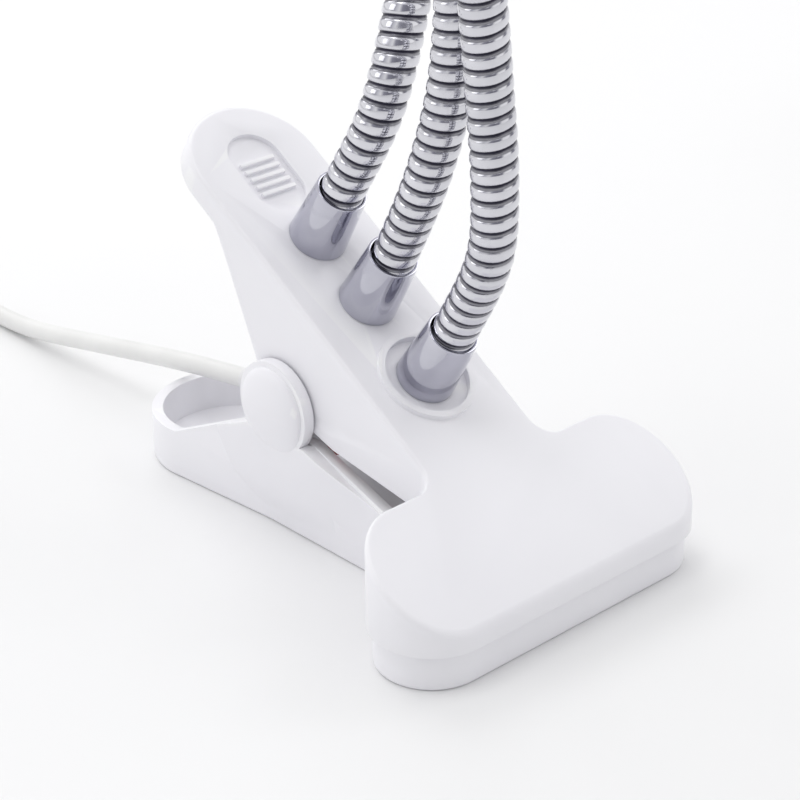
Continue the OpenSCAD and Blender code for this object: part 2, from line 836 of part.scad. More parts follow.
module head_rear_collar() {
    head_collar(REAR);
}
module head_rear_shade() {
    head_shade(REAR);
}
module head_rear_board() {
    head_board(REAR);
}
module head_rear_reflector() {
    head_reflector(REAR);
}
module head_rear_lens() {
    head_lens(REAR);
}
module head_rear_bezel() {
    head_bezel(REAR);
}
module head_middle_collar() {
    head_collar(MIDDLE);
}
module head_middle_shade() {
    head_shade(MIDDLE);
}
module head_middle_board() {
    head_board(MIDDLE);
}
module head_middle_reflector() {
    head_reflector(MIDDLE);
}
module head_middle_lens() {
    head_lens(MIDDLE);
}
module head_middle_bezel() {
    head_bezel(MIDDLE);
}
module head_front_collar() {
    head_collar(FRONT);
}
module head_front_shade() {
    head_shade(FRONT);
}
module head_front_board() {
    head_board(FRONT);
}
module head_front_reflector() {
    head_reflector(FRONT);
}
module head_front_lens() {
    head_lens(FRONT);
}
module head_front_bezel() {
    head_bezel(FRONT);
}

// Rubber strain relief: two flanges that grip the post, and a tapered tail
module cord_grommet() {
    total = norm(CORD_EXIT - GROMMET_START);
    color([0.88, 0.88, 0.9]) {
        along_grommet(0, total - 8, grommet_r - 0.05, grommet_r - 0.05);
        along_grommet(1.2, 2, 3.3, 3.3);
        along_grommet(8.2, total - 8.2, 3.2, cord_r + 0.25);
    }
}

module cord_tube(points, n) {
    color([0.9, 0.9, 0.92])
        rod(points, steps(0, len(points) - 1, n), cord_r, 8, [0, 0, 1]);
}
module cord_to_switch() {
    cord_tube(TO_SWITCH, 24);
}
module cord_to_coil() {
    cord_tube(TO_COIL, 8);
}
module cord_tail() {
    cord_tube(TAIL, 12);
}

// Outer shape of the wound turns
module cord_coil() {
    color([0.9, 0.9, 0.92])
        translate([COIL_AT[0], COIL_AT[1], 0.05])
            rotate_extrude()
                translate([coil_in, 0])
                    square([coil_out - coil_in, coil_h]);
}

// Strap that holds the turns together, on the side away from the lamp
module cord_tie() {
    color([0.3, 0.3, 0.32])
        translate([COIL_AT[0] - 2.5, COIL_AT[1] + coil_in - 1, 0])
            difference() {
                cube([5, coil_out - coil_in + 2, coil_h + 1.1]);
                translate([-1, 0.9, 0.02])
                    cube([7, coil_out - coil_in + 0.2, coil_h + 0.13]);
            }
}

// Plan of the inline switch, a round-cornered rectangle drawn in by a margin
module switch_plan(inset) {
    for (sx = [-1, 1], sy = [-1, 1])
        translate([SWITCH_X + sx * (SWITCH_W / 2 - switch_corner_r),
            switch_mid_y + sy * (switch_len / 2 - switch_corner_r)])
            circle(switch_corner_r - inset);
    translate([SWITCH_X, switch_mid_y]) {
        square([SWITCH_W - 2 * switch_corner_r, switch_len - 2 * inset], center = true);
        square([SWITCH_W - 2 * inset, switch_len - 2 * switch_corner_r], center = true);
    }
}
module switch_bottom() {
    color(WHITE)
        difference() {
            linear_extrude(SWITCH_Z - 0.05)
                switch_plan(0);
            translate([0, 0, 1.4])
                linear_extrude(10)
                    switch_plan(switch_wall);
            translate([SWITCH_X, SWITCH_Y[0] - 1, SWITCH_Z])
                rotate([-90, 0, 0])
                    cylinder(switch_len + 2, r = cord_r - 0.5);
        }
}
module switch_top() {
    color(WHITE)
        difference() {
            translate([0, 0, SWITCH_Z])
                linear_extrude(SWITCH_H - SWITCH_Z)
                    switch_plan(0);
            translate([0, 0, SWITCH_Z - 1])
                linear_extrude(SWITCH_H - SWITCH_Z - 0.4)
                    switch_plan(switch_wall);
            translate([SWITCH_X, SWITCH_Y[0] - 1, SWITCH_Z])
                rotate([-90, 0, 0])
                    cylinder(switch_len + 2, r = cord_r - 0.5);
            translate([SWITCH_X, switch_mid_y, 0])
                cylinder(far, r = button_r + 0.3);
        }
}
module switch_board() {
    color([0.1, 0.4, 0.25])
        translate([SWITCH_X - SWITCH_W / 2 + 2, SWITCH_Y[0] + 8, 2])
            cube([SWITCH_W - 4, switch_len - 16, 1.2]);
}
module switch_button() {
    color([0.8, 0.81, 0.84])
        translate([SWITCH_X, switch_mid_y, 0]) {
            translate([0, 0, 4.6])
                cylinder(SWITCH_H + 1.2 - 4.6, r = button_r);
            translate([0, 0, 6.2])
                cylinder(1.2, r = button_r + 1);
        }
}

// Flat plug at the cord's end, lying beside the coil
module plug_block(y0, y1, w, h) {
    translate([PLUG_END[0] - w / 2, PLUG_END[1] - y1, PLUG_END[2] - h / 2])
        cube([w, y1 - y0, h]);
}
module plug_body() {
    color(WHITE) {
        translate(PLUG_END + [0, 0.01, 0])
            rotate([90, 0, 0])
                cylinder(6, 2.4, 3.2);
        plug_block(6, PLUG_LEN, PLUG_W, PLUG_H);
    }
}
module plug_shell() {
    color(CHROME)
        difference() {
            plug_block(PLUG_LEN + 0.02, PLUG_LEN + 12, 12, 4.5);
            plug_block(PLUG_LEN + 0.5, PLUG_LEN + 13, 11.4, 3.9);
        }
}
module plug_tongue() {
    color([0.15, 0.3, 0.6])
        translate([0, 0, 0.9])
            plug_block(PLUG_LEN + 0.55, PLUG_LEN + 11, 11, 1.8);
}

lower_jaw();
upper_jaw();
jaw_pad_lower();
jaw_pad_upper();
pivot_pin();
pivot_cap_left();
pivot_cap_right();
torsion_spring();
cord_clamp();
clamp_screws();
lead_red();
lead_black();
ferrule_rear();
ferrule_middle();
ferrule_front();
ferrule_washers();
ferrule_nuts();
neck_rear_foot();
neck_rear_mid();
neck_rear_tip();
neck_middle_foot();
neck_middle_mid();
neck_middle_tip();
neck_front_foot();
neck_front_mid();
neck_front_tip();
head_rear_collar();
head_rear_shade();
head_rear_board();
head_rear_reflector();
head_rear_lens();
head_rear_bezel();
head_middle_collar();
head_middle_shade();
head_middle_board();
head_middle_reflector();
head_middle_lens();
head_middle_bezel();
head_front_collar();
head_front_shade();
head_front_board();
head_front_reflector();
head_front_lens();
head_front_bezel();
cord_grommet();
cord_to_switch();
cord_to_coil();
cord_coil();
cord_tail();
cord_tie();
switch_bottom();
switch_top();
switch_button();
switch_board();
plug_body();
plug_shell();
plug_tongue();
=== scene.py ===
# %% [markdown]
# This lesson builds a clip-on reading lamp: a white sprung clip, three chrome goosenecks, three
# small shaded heads, and a thin supply cord with an inline switch and a plug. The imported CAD
# model is loaded first, because every piece made here has to sit exactly where it says.

# %% Load the frame
import json
from math import cos, hypot, pi, radians, sin
import bmesh
import bpy
from mathutils import Matrix, Vector

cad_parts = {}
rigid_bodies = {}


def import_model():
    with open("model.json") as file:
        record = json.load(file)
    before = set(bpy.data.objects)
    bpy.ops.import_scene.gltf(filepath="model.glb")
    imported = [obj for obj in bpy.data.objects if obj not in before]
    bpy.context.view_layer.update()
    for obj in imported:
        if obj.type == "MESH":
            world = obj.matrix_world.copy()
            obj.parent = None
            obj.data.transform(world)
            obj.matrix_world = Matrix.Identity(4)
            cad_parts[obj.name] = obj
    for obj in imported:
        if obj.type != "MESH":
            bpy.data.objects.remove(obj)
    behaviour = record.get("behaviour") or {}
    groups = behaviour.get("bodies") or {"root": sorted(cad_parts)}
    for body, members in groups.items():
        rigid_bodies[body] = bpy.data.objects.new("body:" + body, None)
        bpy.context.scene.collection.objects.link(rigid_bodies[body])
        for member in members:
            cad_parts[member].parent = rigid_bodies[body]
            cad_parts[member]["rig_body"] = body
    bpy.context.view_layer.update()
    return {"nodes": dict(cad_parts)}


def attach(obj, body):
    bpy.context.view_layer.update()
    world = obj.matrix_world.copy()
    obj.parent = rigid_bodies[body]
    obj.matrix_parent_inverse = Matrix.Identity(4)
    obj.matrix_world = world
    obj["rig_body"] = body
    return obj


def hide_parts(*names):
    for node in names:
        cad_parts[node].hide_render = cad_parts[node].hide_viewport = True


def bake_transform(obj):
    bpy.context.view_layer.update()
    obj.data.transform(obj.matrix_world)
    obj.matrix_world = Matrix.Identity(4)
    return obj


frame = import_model()

# %% [markdown]
# Everything is in metres, but a lamp is easier to think about in millimetres, so one helper
# turns millimetres into a point. A second helper turns the Z axis to a wanted direction.

# %% Points in millimetres
MM = 0.001


def mm(x, y, z):
    return Vector((x, y, z)) * MM


def aimed(at, direction):
    turn = Vector((0, 0, 1)).rotation_difference(Vector(direction)).to_matrix().to_4x4()
    return Matrix.Translation(at) @ turn


print("one millimetre is", mm(1, 0, 0))

# %% [markdown]
# The camera looks down on the clip from its front left, through a long lens, so that the
# sloping top plate stays almost parallel and the round jaw bar isn't stretched.

# %% Camera
camera = bpy.data.objects.new("camera", bpy.data.cameras.new("camera"))
bpy.context.scene.collection.objects.link(camera)
bpy.context.scene.camera = camera
camera.data.sensor_width = 36
camera.data.lens = 109.11
camera.data.clip_start = 0.01
look_at = Vector((0.01471, 0.000635, 0.015))
camera.location = (-0.24323, -0.27888, 0.20751)
roll = radians(-0.537)
camera.rotation_euler = (
    ((look_at - camera.location).to_track_quat("-Z", "Y").to_matrix()
     @ Matrix.Rotation(roll, 3, "Z")).to_euler())
print("camera distance", (look_at - camera.location).length)

# %% [markdown]
# The cord is the only soft thing on the lamp. It leaves the clip through a rubber relief, runs
# over the table to an inline switch, and what isn't needed is wound in a neat coil that a strap
# holds. A real lead keeps its length, so the route is drawn at its true length, as two curves:
# clip to switch, and switch to plug.

# %% Route of the cord
CORD_R = 1.8
CORD_Z = 1.9
SWITCH_Z = 4.4
CORD_EXIT = (0, 25, 15.6)
TO_SWITCH = [CORD_EXIT, (0, 30, 14.8), (0, 38, 13.5), (0, 45, 12.2), (0, 53, 10.6),
             (0, 62, 8.7), (0, 71, 6.8), (0, 79, 5.1), (0, 87, 3.5), (0, 94, 2.4),
             (0, 101, CORD_Z), (0, 107, CORD_Z), (-1, 113, CORD_Z), (-4, 120, 2.4),
             (-7, 127, 3.6), (-8, 133, SWITCH_Z), (-8, 138, SWITCH_Z)]
TO_COIL = [(-8, 186, SWITCH_Z), (-8, 190, SWITCH_Z), (-8.1, 197, 3.6), (-8.2, 204, 2.5),
           (-8.3, 211, CORD_Z), (-8.3, 218, CORD_Z)]
COIL_AT = (-35.8, 224)
TAIL = [(-53.5, 216, 13), (-54, 208, 12.6), (-55, 201, 10.8), (-56.4, 194, 8.2),
        (-57.5, 187, 6.2), (-58, 179, 5), (-58, 172, 5)]


def smoothstep(t):
    t = min(max(t, 0), 1)
    return t * t * (3 - 2 * t)


def wound_turns(outer=27.5, gap=4, per_layer=3, turns=9.5, rise=3.7, step_up=0.14, per_turn=30):
    points = []
    for i in range(1, int(per_turn * turns) + 1):
        turn = i / per_turn
        layer, within = divmod(turn, per_layer)
        inward = gap * (within if layer % 2 == 0 else per_layer - within)
        climb = smoothstep((within - per_layer + step_up) / step_up)
        r = outer - inward
        angle = 2 * pi * turn
        points.append((COIL_AT[0] + r * cos(angle), COIL_AT[1] + r * sin(angle),
                       CORD_Z + rise * (layer + climb)))
    return points


WINDING = wound_turns()
print("coil points", len(WINDING), "ends at", WINDING[-1])

# %% [markdown]
# Each route is one open spline with a round bevel of one unit, which every knot scales down to
# the cord's own radius, so the curve's bounds are right. The handles lie along the line between
# a knot's two neighbours, so the cord bends evenly through every knot.

# %% Cord curves


def lay_knots(line, points, radius):
    for k, knot in enumerate(line.bezier_points):
        knot.radius = radius * MM
        before, after = points[max(k - 1, 0)], points[min(k + 1, len(points) - 1)]
        lean = (mm(*after) - mm(*before)) / 6
        knot.handle_left_type = knot.handle_right_type = "FREE"
        knot.co = mm(*points[k])
        knot.handle_left = knot.co - lean
        knot.handle_right = knot.co + lean


def tube_curve(name, points, radius, around, along):
    data = bpy.data.curves.new(name, "CURVE")
    data.dimensions = "3D"
    data.bevel_depth = 1.0
    data.bevel_resolution = around
    data.resolution_u = along
    data.use_fill_caps = True
    line = data.splines.new("BEZIER")
    line.bezier_points.add(len(points) - 1)
    lay_knots(line, points, radius)
    piece = bpy.data.objects.new(name, data)
    bpy.context.scene.collection.objects.link(piece)
    return piece


def run_length(points):
    return sum((mm(*a) - mm(*b)).length for a, b in zip(points, points[1:]))


near_run = tube_curve("cord_clip_to_switch", TO_SWITCH, CORD_R, around=5, along=6)
far_points = TO_COIL + WINDING + TAIL
far_run = tube_curve("cord_switch_to_plug", far_points, CORD_R, around=5, along=6)
print("near run", run_length(TO_SWITCH), "m, far run", run_length(far_points), "m")
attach(near_run, "base")
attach(far_run, "base")
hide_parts("cord_to_switch")
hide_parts("cord_to_coil", "cord_coil", "cord_tail")

# %% [markdown]
# The lamp was made for a bright white studio. The world gives even white light to the plastic,
# but chrome only looks like chrome when it has something dark to reflect, so mirror rays see a
# sky with grey bands in it. The sky is dimmer on the viewer's side, where someone stands. One
# large soft light from behind and above draws the contact shadows towards the viewer, and three
# smaller ones from the top and the sides let the goosenecks shade the sloping plate.

# %% Studio


def add_node(tree, kind, **settings):
    node = tree.nodes.new(kind)
    for key, value in settings.items():
        setattr(node, key, value)
    return node


def ramp_stops(node, stops):
    ramp = node.color_ramp
    while len(ramp.elements) > 1:
        ramp.elements.remove(ramp.elements[0])
    ramp.elements[0].position, ramp.elements[0].color = stops[0][0], (*stops[0][1], 1)
    for place, colour in stops[1:]:
        ramp.elements.new(place).color = (*colour, 1)


def grey(value, tint=0.0):
    return (value * (1 - tint), value * (1 - tint), value)


world = bpy.data.worlds.new("studio")
bpy.context.scene.world = world
world.use_nodes = True
sky = world.node_tree
link = sky.links.new
background = sky.nodes["Background"]
direction = add_node(sky, "ShaderNodeTexCoord")
split = add_node(sky, "ShaderNodeSeparateXYZ")
link(direction.outputs["Generated"], split.inputs[0])
height = add_node(sky, "ShaderNodeMapRange")
height.inputs["From Min"].default_value = -1
link(split.outputs["Z"], height.inputs["Value"])
soft_sky = add_node(sky, "ShaderNodeValToRGB")
ramp_stops(soft_sky, [(0.0, grey(0.76, 0.02)), (0.5, grey(0.80, 0.03)), (0.7, grey(0.86)),
                      (1.0, grey(0.92))])
link(height.outputs[0], soft_sky.inputs[0])
angle = add_node(sky, "ShaderNodeMath", operation="ARCTAN2")
link(split.outputs["Y"], angle.inputs[0])
link(split.outputs["X"], angle.inputs[1])
round_sky = add_node(sky, "ShaderNodeMapRange")
round_sky.inputs["From Min"].default_value = -pi
round_sky.inputs["From Max"].default_value = pi
link(angle.outputs[0], round_sky.inputs["Value"])
bands = add_node(sky, "ShaderNodeValToRGB")
ramp_stops(bands, [(0.0, grey(0.75, 0.05)), (0.04, grey(0.9)), (0.08, grey(0.36, 0.14)),
                   (0.14, grey(0.26, 0.14)), (0.20, grey(0.30, 0.14)), (0.24, grey(1.0)),
                   (0.33, grey(1.1)), (0.36, grey(0.3, 0.12)), (0.40, grey(0.36, 0.12)),
                   (0.44, grey(1.0)), (0.60, grey(1.05)), (0.64, grey(0.28, 0.12)),
                   (0.70, grey(0.38, 0.12)), (0.76, grey(1.05)), (0.90, grey(1.0)),
                   (0.95, grey(0.42, 0.1)), (1.0, grey(0.75, 0.05))])
link(round_sky.outputs[0], bands.inputs[0])
overhead = add_node(sky, "ShaderNodeMapRange")
overhead.inputs["From Min"].default_value = 0.55
overhead.inputs["From Max"].default_value = 0.9
link(split.outputs["Z"], overhead.inputs["Value"])
mirror_sky = add_node(sky, "ShaderNodeMix", data_type="RGBA")
link(overhead.outputs[0], mirror_sky.inputs["Factor"])
link(bands.outputs[0], mirror_sky.inputs["A"])
mirror_sky.inputs["B"].default_value = (0.9, 0.9, 0.93, 1)
toward_viewer = add_node(sky, "ShaderNodeVectorMath", operation="DOT_PRODUCT")
toward_viewer.inputs[1].default_value = (-0.66, -0.75, 0)
link(direction.outputs["Generated"], toward_viewer.inputs[0])
blocked = add_node(sky, "ShaderNodeMapRange", interpolation_type="SMOOTHSTEP")
blocked.inputs["From Min"].default_value = 0.1
blocked.inputs["To Min"].default_value = 1.0
blocked.inputs["To Max"].default_value = 0.58
link(toward_viewer.outputs["Value"], blocked.inputs["Value"])
open_sky = add_node(sky, "ShaderNodeMix", data_type="RGBA", blend_type="MULTIPLY")
open_sky.inputs["Factor"].default_value = 1.0
link(soft_sky.outputs[0], open_sky.inputs["A"])
link(blocked.outputs[0], open_sky.inputs["B"])
ray = add_node(sky, "ShaderNodeLightPath")
by_gloss = add_node(sky, "ShaderNodeMix", data_type="RGBA")
link(ray.outputs["Is Glossy Ray"], by_gloss.inputs["Factor"])
link(open_sky.outputs["Result"], by_gloss.inputs["A"])
link(mirror_sky.outputs["Result"], by_gloss.inputs["B"])
by_view = add_node(sky, "ShaderNodeMix", data_type="RGBA")
link(ray.outputs["Is Camera Ray"], by_view.inputs["Factor"])
link(by_gloss.outputs["Result"], by_view.inputs["A"])
by_view.inputs["B"].default_value = (1, 1, 1, 1)
link(by_view.outputs["Result"], background.inputs["Color"])
bpy.context.scene.view_settings.view_transform = "Standard"


def soft_light(name, at, aim, size, power):
    lamp = bpy.data.lights.new(name, "AREA")
    lamp.shape = "RECTANGLE"
    lamp.size, lamp.size_y = size
    lamp.energy = power
    holder = bpy.data.objects.new(name, lamp)
    holder.location = at
    holder.rotation_euler = (Vector(aim) - Vector(at)).to_track_quat("-Z", "Y").to_euler()
    bpy.context.scene.collection.objects.link(holder)


soft_light("back_light", (0.25, 0.75, 0.75), (0, 0, 0), (0.9, 0.5), 2.6)
soft_light("top_light", (-0.2, 0.1, 0.9), (0, 0, 0.02), (0.4, 0.4), 1.35)
soft_light("right_light", (0.75, -0.15, 0.7), (0, 0, 0.02), (0.35, 0.35), 0.6)
soft_light("left_light", (-0.85, 0.45, 0.4), (0, 0, 0.02), (0.5, 0.5), 0.8)
print("sky nodes", len(sky.nodes))

# %% [markdown]
# A real paper sweep looks white far away and slightly grey close by. The floor is a wide flat
# sheet with one pale matt paint.

# %% Floor
floor = bpy.data.objects.new("floor", bpy.data.meshes.new("floor"))
bm = bmesh.new()
bmesh.ops.create_grid(bm, x_segments=8, y_segments=8, size=6)
bm.to_mesh(floor.data)
bm.free()
bpy.context.scene.collection.objects.link(floor)
paper = bpy.data.materials.new("paper")
paper.use_nodes = True
paint = paper.node_tree.nodes["Principled BSDF"]
paint.inputs["Base Color"].default_value = (0.85, 0.85, 0.855, 1)
paint.inputs["Roughness"].default_value = 0.6
paint.inputs["Specular IOR Level"].default_value = 0.25
floor.data.materials.append(paper)
print("floor side", floor.dimensions.x)

# %% [markdown]
# Effects that several finishes share are node groups, built once. Fine grain gives a height for
# bump and a soft mask for gloss changes. Scratches are thin lines cut from stretched noise. Wear
# finds raised edges with the pointiness of the mesh.

# %% Shared effects


def new_group(name, inputs, outputs):
    group = bpy.data.node_groups.new(name, "ShaderNodeTree")
    for label, kind, value in inputs:
        socket = group.interface.new_socket(label, in_out="INPUT", socket_type=kind)
        if value is not None:
            socket.default_value = value
    for label, kind in outputs:
        group.interface.new_socket(label, in_out="OUTPUT", socket_type=kind)
    return group, group.nodes.new("NodeGroupInput"), group.nodes.new("NodeGroupOutput")


grain, g_in, g_out = new_group(
    "fine grain",
    [("Vector", "NodeSocketVector", None), ("Scale", "NodeSocketFloat", 900.0),
     ("Patch Scale", "NodeSocketFloat", 60.0)],
    [("Height", "NodeSocketFloat"), ("Patches", "NodeSocketFloat")])
small = add_node(grain, "ShaderNodeTexNoise")
small.inputs["Detail"].default_value = 3
broad = add_node(grain, "ShaderNodeTexNoise")
broad.inputs["Detail"].default_value = 4
for source, target in ((g_in.outputs["Vector"], small.inputs["Vector"]),
                       (g_in.outputs["Scale"], small.inputs["Scale"]),
                       (g_in.outputs["Vector"], broad.inputs["Vector"]),
                       (g_in.outputs["Patch Scale"], broad.inputs["Scale"]),
                       (small.outputs["Fac"], g_out.inputs["Height"]),
                       (broad.outputs["Fac"], g_out.inputs["Patches"])):
    grain.links.new(source, target)

scratches, s_in, s_out = new_group(
    "fine scratches",
    [("Vector", "NodeSocketVector", None), ("Scale", "NodeSocketFloat", 120.0),
     ("Width", "NodeSocketFloat", 0.012)],
    [("Mask", "NodeSocketFloat")])
squeeze = add_node(scratches, "ShaderNodeMapping")
squeeze.inputs["Rotation"].default_value = (0.5, 0.3, 0.8)
squeeze.inputs["Scale"].default_value = (1, 0.16, 0.4)
lines = add_node(scratches, "ShaderNodeTexNoise")
lines.inputs["Detail"].default_value = 1
centred = add_node(scratches, "ShaderNodeMath", operation="SUBTRACT")
centred.inputs[1].default_value = 0.5
depth = add_node(scratches, "ShaderNodeMath", operation="ABSOLUTE")
thin = add_node(scratches, "ShaderNodeMath", operation="LESS_THAN")
for source, target in ((s_in.outputs["Vector"], squeeze.inputs["Vector"]),
                       (squeeze.outputs[0], lines.inputs["Vector"]),
                       (s_in.outputs["Scale"], lines.inputs["Scale"]),
                       (lines.outputs["Fac"], centred.inputs[0]),
                       (centred.outputs[0], depth.inputs[0]),
                       (depth.outputs[0], thin.inputs[0]),
                       (s_in.outputs["Width"], thin.inputs[1]),
                       (thin.outputs[0], s_out.inputs["Mask"])):
    scratches.links.new(source, target)

wear, w_in, w_out = new_group(
    "edge wear", [("Low", "NodeSocketFloat", 0.52), ("High", "NodeSocketFloat", 0.6)],
    [("Mask", "NodeSocketFloat")])
shape = add_node(wear, "ShaderNodeNewGeometry")
edge = add_node(wear, "ShaderNodeMapRange")
for source, target in ((shape.outputs["Pointiness"], edge.inputs["Value"]),
                       (w_in.outputs["Low"], edge.inputs["From Min"]),
                       (w_in.outputs["High"], edge.inputs["From Max"]),
                       (edge.outputs[0], w_out.inputs["Mask"])):
    wear.links.new(source, target)
print("groups:", [g.name for g in bpy.data.node_groups])

# %% [markdown]
# Every finish is built the same way: a base colour that drifts slightly in patches, a roughness
# that drifts with it, and a bump from the grain. The helper places the shared groups and leaves
# constants such as metallic or coat on the shader's own sockets. The cords, made earlier, get
# their jacket as soon as it exists.

# %% Finish builder


def finish(name, dark, light, rough=(0.3, 0.4), grain_scale=900, patch_scale=60, bump=0.05,
           bump_mm=0.02, worn=None, scratched=None, **shader):
    material = bpy.data.materials.new(name)
    material.use_nodes = True
    tree = material.node_tree
    link = tree.links.new
    surface = tree.nodes["Principled BSDF"]
    place = add_node(tree, "ShaderNodeTexCoord")
    cover = add_node(tree, "ShaderNodeGroup", node_tree=grain)
    cover.inputs["Scale"].default_value = grain_scale
    cover.inputs["Patch Scale"].default_value = patch_scale
    link(place.outputs["Object"], cover.inputs["Vector"])
    tone = add_node(tree, "ShaderNodeValToRGB")
    ramp_stops(tone, [(0.3, dark), (0.7, light)])
    link(cover.outputs["Patches"], tone.inputs[0])
    colour = tone.outputs[0]
    gloss = add_node(tree, "ShaderNodeMapRange")
    gloss.inputs["From Min"].default_value = 0.3
    gloss.inputs["From Max"].default_value = 0.7
    gloss.inputs["To Min"].default_value, gloss.inputs["To Max"].default_value = rough
    link(cover.outputs["Patches"], gloss.inputs["Value"])
    roughness = gloss.outputs[0]
    if worn:
        rub = add_node(tree, "ShaderNodeGroup", node_tree=wear)
        blend = add_node(tree, "ShaderNodeMix", data_type="RGBA")
        link(rub.outputs["Mask"], blend.inputs["Factor"])
        link(colour, blend.inputs["A"])
        blend.inputs["B"].default_value = (*worn, 1)
        colour = blend.outputs["Result"]
    if scratched:
        hairs = add_node(tree, "ShaderNodeGroup", node_tree=scratches)
        link(place.outputs["Object"], hairs.inputs["Vector"])
        rougher = add_node(tree, "ShaderNodeMath", operation="MULTIPLY_ADD")
        rougher.inputs[1].default_value = scratched
        link(hairs.outputs["Mask"], rougher.inputs[0])
        link(roughness, rougher.inputs[2])
        roughness = rougher.outputs[0]
    link(colour, surface.inputs["Base Color"])
    link(roughness, surface.inputs["Roughness"])
    relief = add_node(tree, "ShaderNodeBump")
    relief.inputs["Strength"].default_value = bump
    relief.inputs["Distance"].default_value = bump_mm * MM
    link(cover.outputs["Height"], relief.inputs["Height"])
    link(relief.outputs[0], surface.inputs["Normal"])
    for socket, value in shader.items():
        surface.inputs[socket.replace("_", " ")].default_value = value
    return material


white_plastic = finish("white_plastic", (0.872, 0.866, 0.905), (0.90, 0.895, 0.93), (0.30, 0.40),
                       1400, 35, 0.12, 0.02, worn=(0.93, 0.93, 0.945), scratched=0.06)
inner_plastic = finish("inner_plastic", (0.74, 0.74, 0.76), (0.8, 0.8, 0.82), (0.4, 0.5))
chrome = finish("chrome", (0.80, 0.80, 0.84), (0.86, 0.86, 0.89), (0.05, 0.11), 600, 90, 0.03,
                0.01, scratched=0.16, Metallic=1.0)
# darker, bluish copy of the chrome for the ferrules: painted shade standing in for the darker
# reflections that the ferrules show
ferrule_chrome_painted_shade = finish("ferrule_chrome_painted_shade", (0.46, 0.46, 0.53), (0.58, 0.58, 0.64), (0.06, 0.12),
                       600, 90, 0.03, 0.01, scratched=0.16, Metallic=1.0)
steel = finish("steel", (0.5, 0.5, 0.52), (0.62, 0.62, 0.64), (0.22, 0.34), 800, 150, 0.08,
               0.02, scratched=0.2, Metallic=1.0)
spring_steel = finish("spring_steel", (0.36, 0.37, 0.4), (0.5, 0.5, 0.53), (0.25, 0.35),
                      700, 120, 0.08, 0.02, Metallic=1.0)
brass = finish("brass", (0.62, 0.47, 0.22), (0.72, 0.56, 0.28), (0.2, 0.34), 700, 120, 0.06,
               0.02, scratched=0.2, Metallic=1.0)
rubber = finish("pad_rubber", (0.10, 0.10, 0.11), (0.16, 0.16, 0.17), (0.6, 0.75), 1600, 80,
                0.35, 0.04)
jacket = finish("cord_jacket", (0.78, 0.78, 0.77), (0.85, 0.85, 0.84), (0.38, 0.5), 900, 70,
                0.15, 0.03)
relief_rubber = finish("relief_rubber", (0.74, 0.74, 0.75), (0.81, 0.81, 0.82), (0.45, 0.55),
                       1200, 70, 0.25, 0.03)
tie_black = finish("tie_black", (0.03, 0.03, 0.034), (0.06, 0.06, 0.065), (0.55, 0.7), 2600,
                   90, 0.6, 0.06)
lead_red = finish("lead_red", (0.45, 0.01, 0.02), (0.62, 0.03, 0.05), (0.3, 0.42))
lead_black = finish("lead_black", (0.012, 0.012, 0.015), (0.03, 0.03, 0.034), (0.3, 0.42))
board_green = finish("board_green", (0.01, 0.13, 0.06), (0.02, 0.2, 0.1), (0.25, 0.4), 1500,
                     200, 0.15, 0.02, Coat_Weight=0.6)
board_white = finish("board_white", (0.78, 0.77, 0.7), (0.86, 0.85, 0.8), (0.3, 0.4), 1500,
                     200, 0.1, 0.02)
button_grey = finish("button_grey", (0.5, 0.5, 0.53), (0.58, 0.58, 0.61), (0.4, 0.5), 1800,
                     70, 0.2, 0.02, worn=(0.7, 0.7, 0.72))
tongue_blue = finish("tongue_blue", (0.02, 0.08, 0.3), (0.03, 0.12, 0.4), (0.35, 0.45))
mirror_foil = finish("reflector", (0.82, 0.82, 0.84), (0.9, 0.9, 0.91), (0.12, 0.22), 700, 60,
                     0.1, 0.02, Metallic=1.0)
frosted = finish("lens", (0.86, 0.86, 0.84), (0.93, 0.93, 0.92), (0.4, 0.5), 1500, 80, 0.2,
                 0.03, Transmission_Weight=0.55, IOR=1.49)
for run in (near_run, far_run):
    run.data.materials.append(jacket)
print("finishes:", len(bpy.data.materials))

# %% [markdown]
# The wound gooseneck is chromed strip. Light can't reach the bottom of its grooves, so shade is
# painted there: the groove depth, which is stored on the mesh, darkens the metal's colour, and it
# also dulls the metal.

# %% Gooseneck finish
wound_chrome = finish("wound_chrome", (0.62, 0.62, 0.66), (0.72, 0.72, 0.76), (0.05, 0.11), 600,
                      90, 0.03, 0.01, scratched=0.16, Metallic=1.0)
tree = wound_chrome.node_tree
surface = tree.nodes["Principled BSDF"]
depth = add_node(tree, "ShaderNodeAttribute", attribute_name="groove")
# painted shade: the groove depth mixes the chrome's colour towards near black in the grooves
dark = add_node(tree, "ShaderNodeMix", data_type="RGBA")
tree.links.new(depth.outputs["Fac"], dark.inputs["Factor"])
tree.links.new(surface.inputs["Base Color"].links[0].from_socket, dark.inputs["A"])
dark.inputs["B"].default_value = (0.035, 0.033, 0.05, 1)
tree.links.new(dark.outputs["Result"], surface.inputs["Base Color"])
dull = add_node(tree, "ShaderNodeMath", operation="MULTIPLY_ADD")
dull.inputs[1].default_value = 0.3
tree.links.new(depth.outputs["Fac"], dull.inputs[0])
tree.links.new(surface.inputs["Roughness"].links[0].from_socket, dull.inputs[2])
tree.links.new(dull.outputs[0], surface.inputs["Roughness"])
print("wound chrome nodes", len(tree.nodes))

# %% [markdown]
# Each finished mesh goes through one helper: it makes the object, smooths faces that meet
# gently and keeps sharp what is sharp, gives it its finish, and hands it to the body that
# carries it. It also hides the CAD nodes that the piece stands for.

# %% Piece helper


def add_piece(bm, name, material, body, nodes=(), sharp=34):
    mesh = bpy.data.meshes.new(name)
    bm.to_mesh(mesh)
    bm.free()
    mesh.shade_smooth()
    mesh.set_sharp_from_angle(angle=radians(sharp))
    mesh.materials.append(material)
    piece = bpy.data.objects.new(name, mesh)
    bpy.context.scene.collection.objects.link(piece)
    if body:
        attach(piece, body)
    if nodes:
        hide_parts(*nodes)
    print(name, len(mesh.polygons), "faces")
    return piece


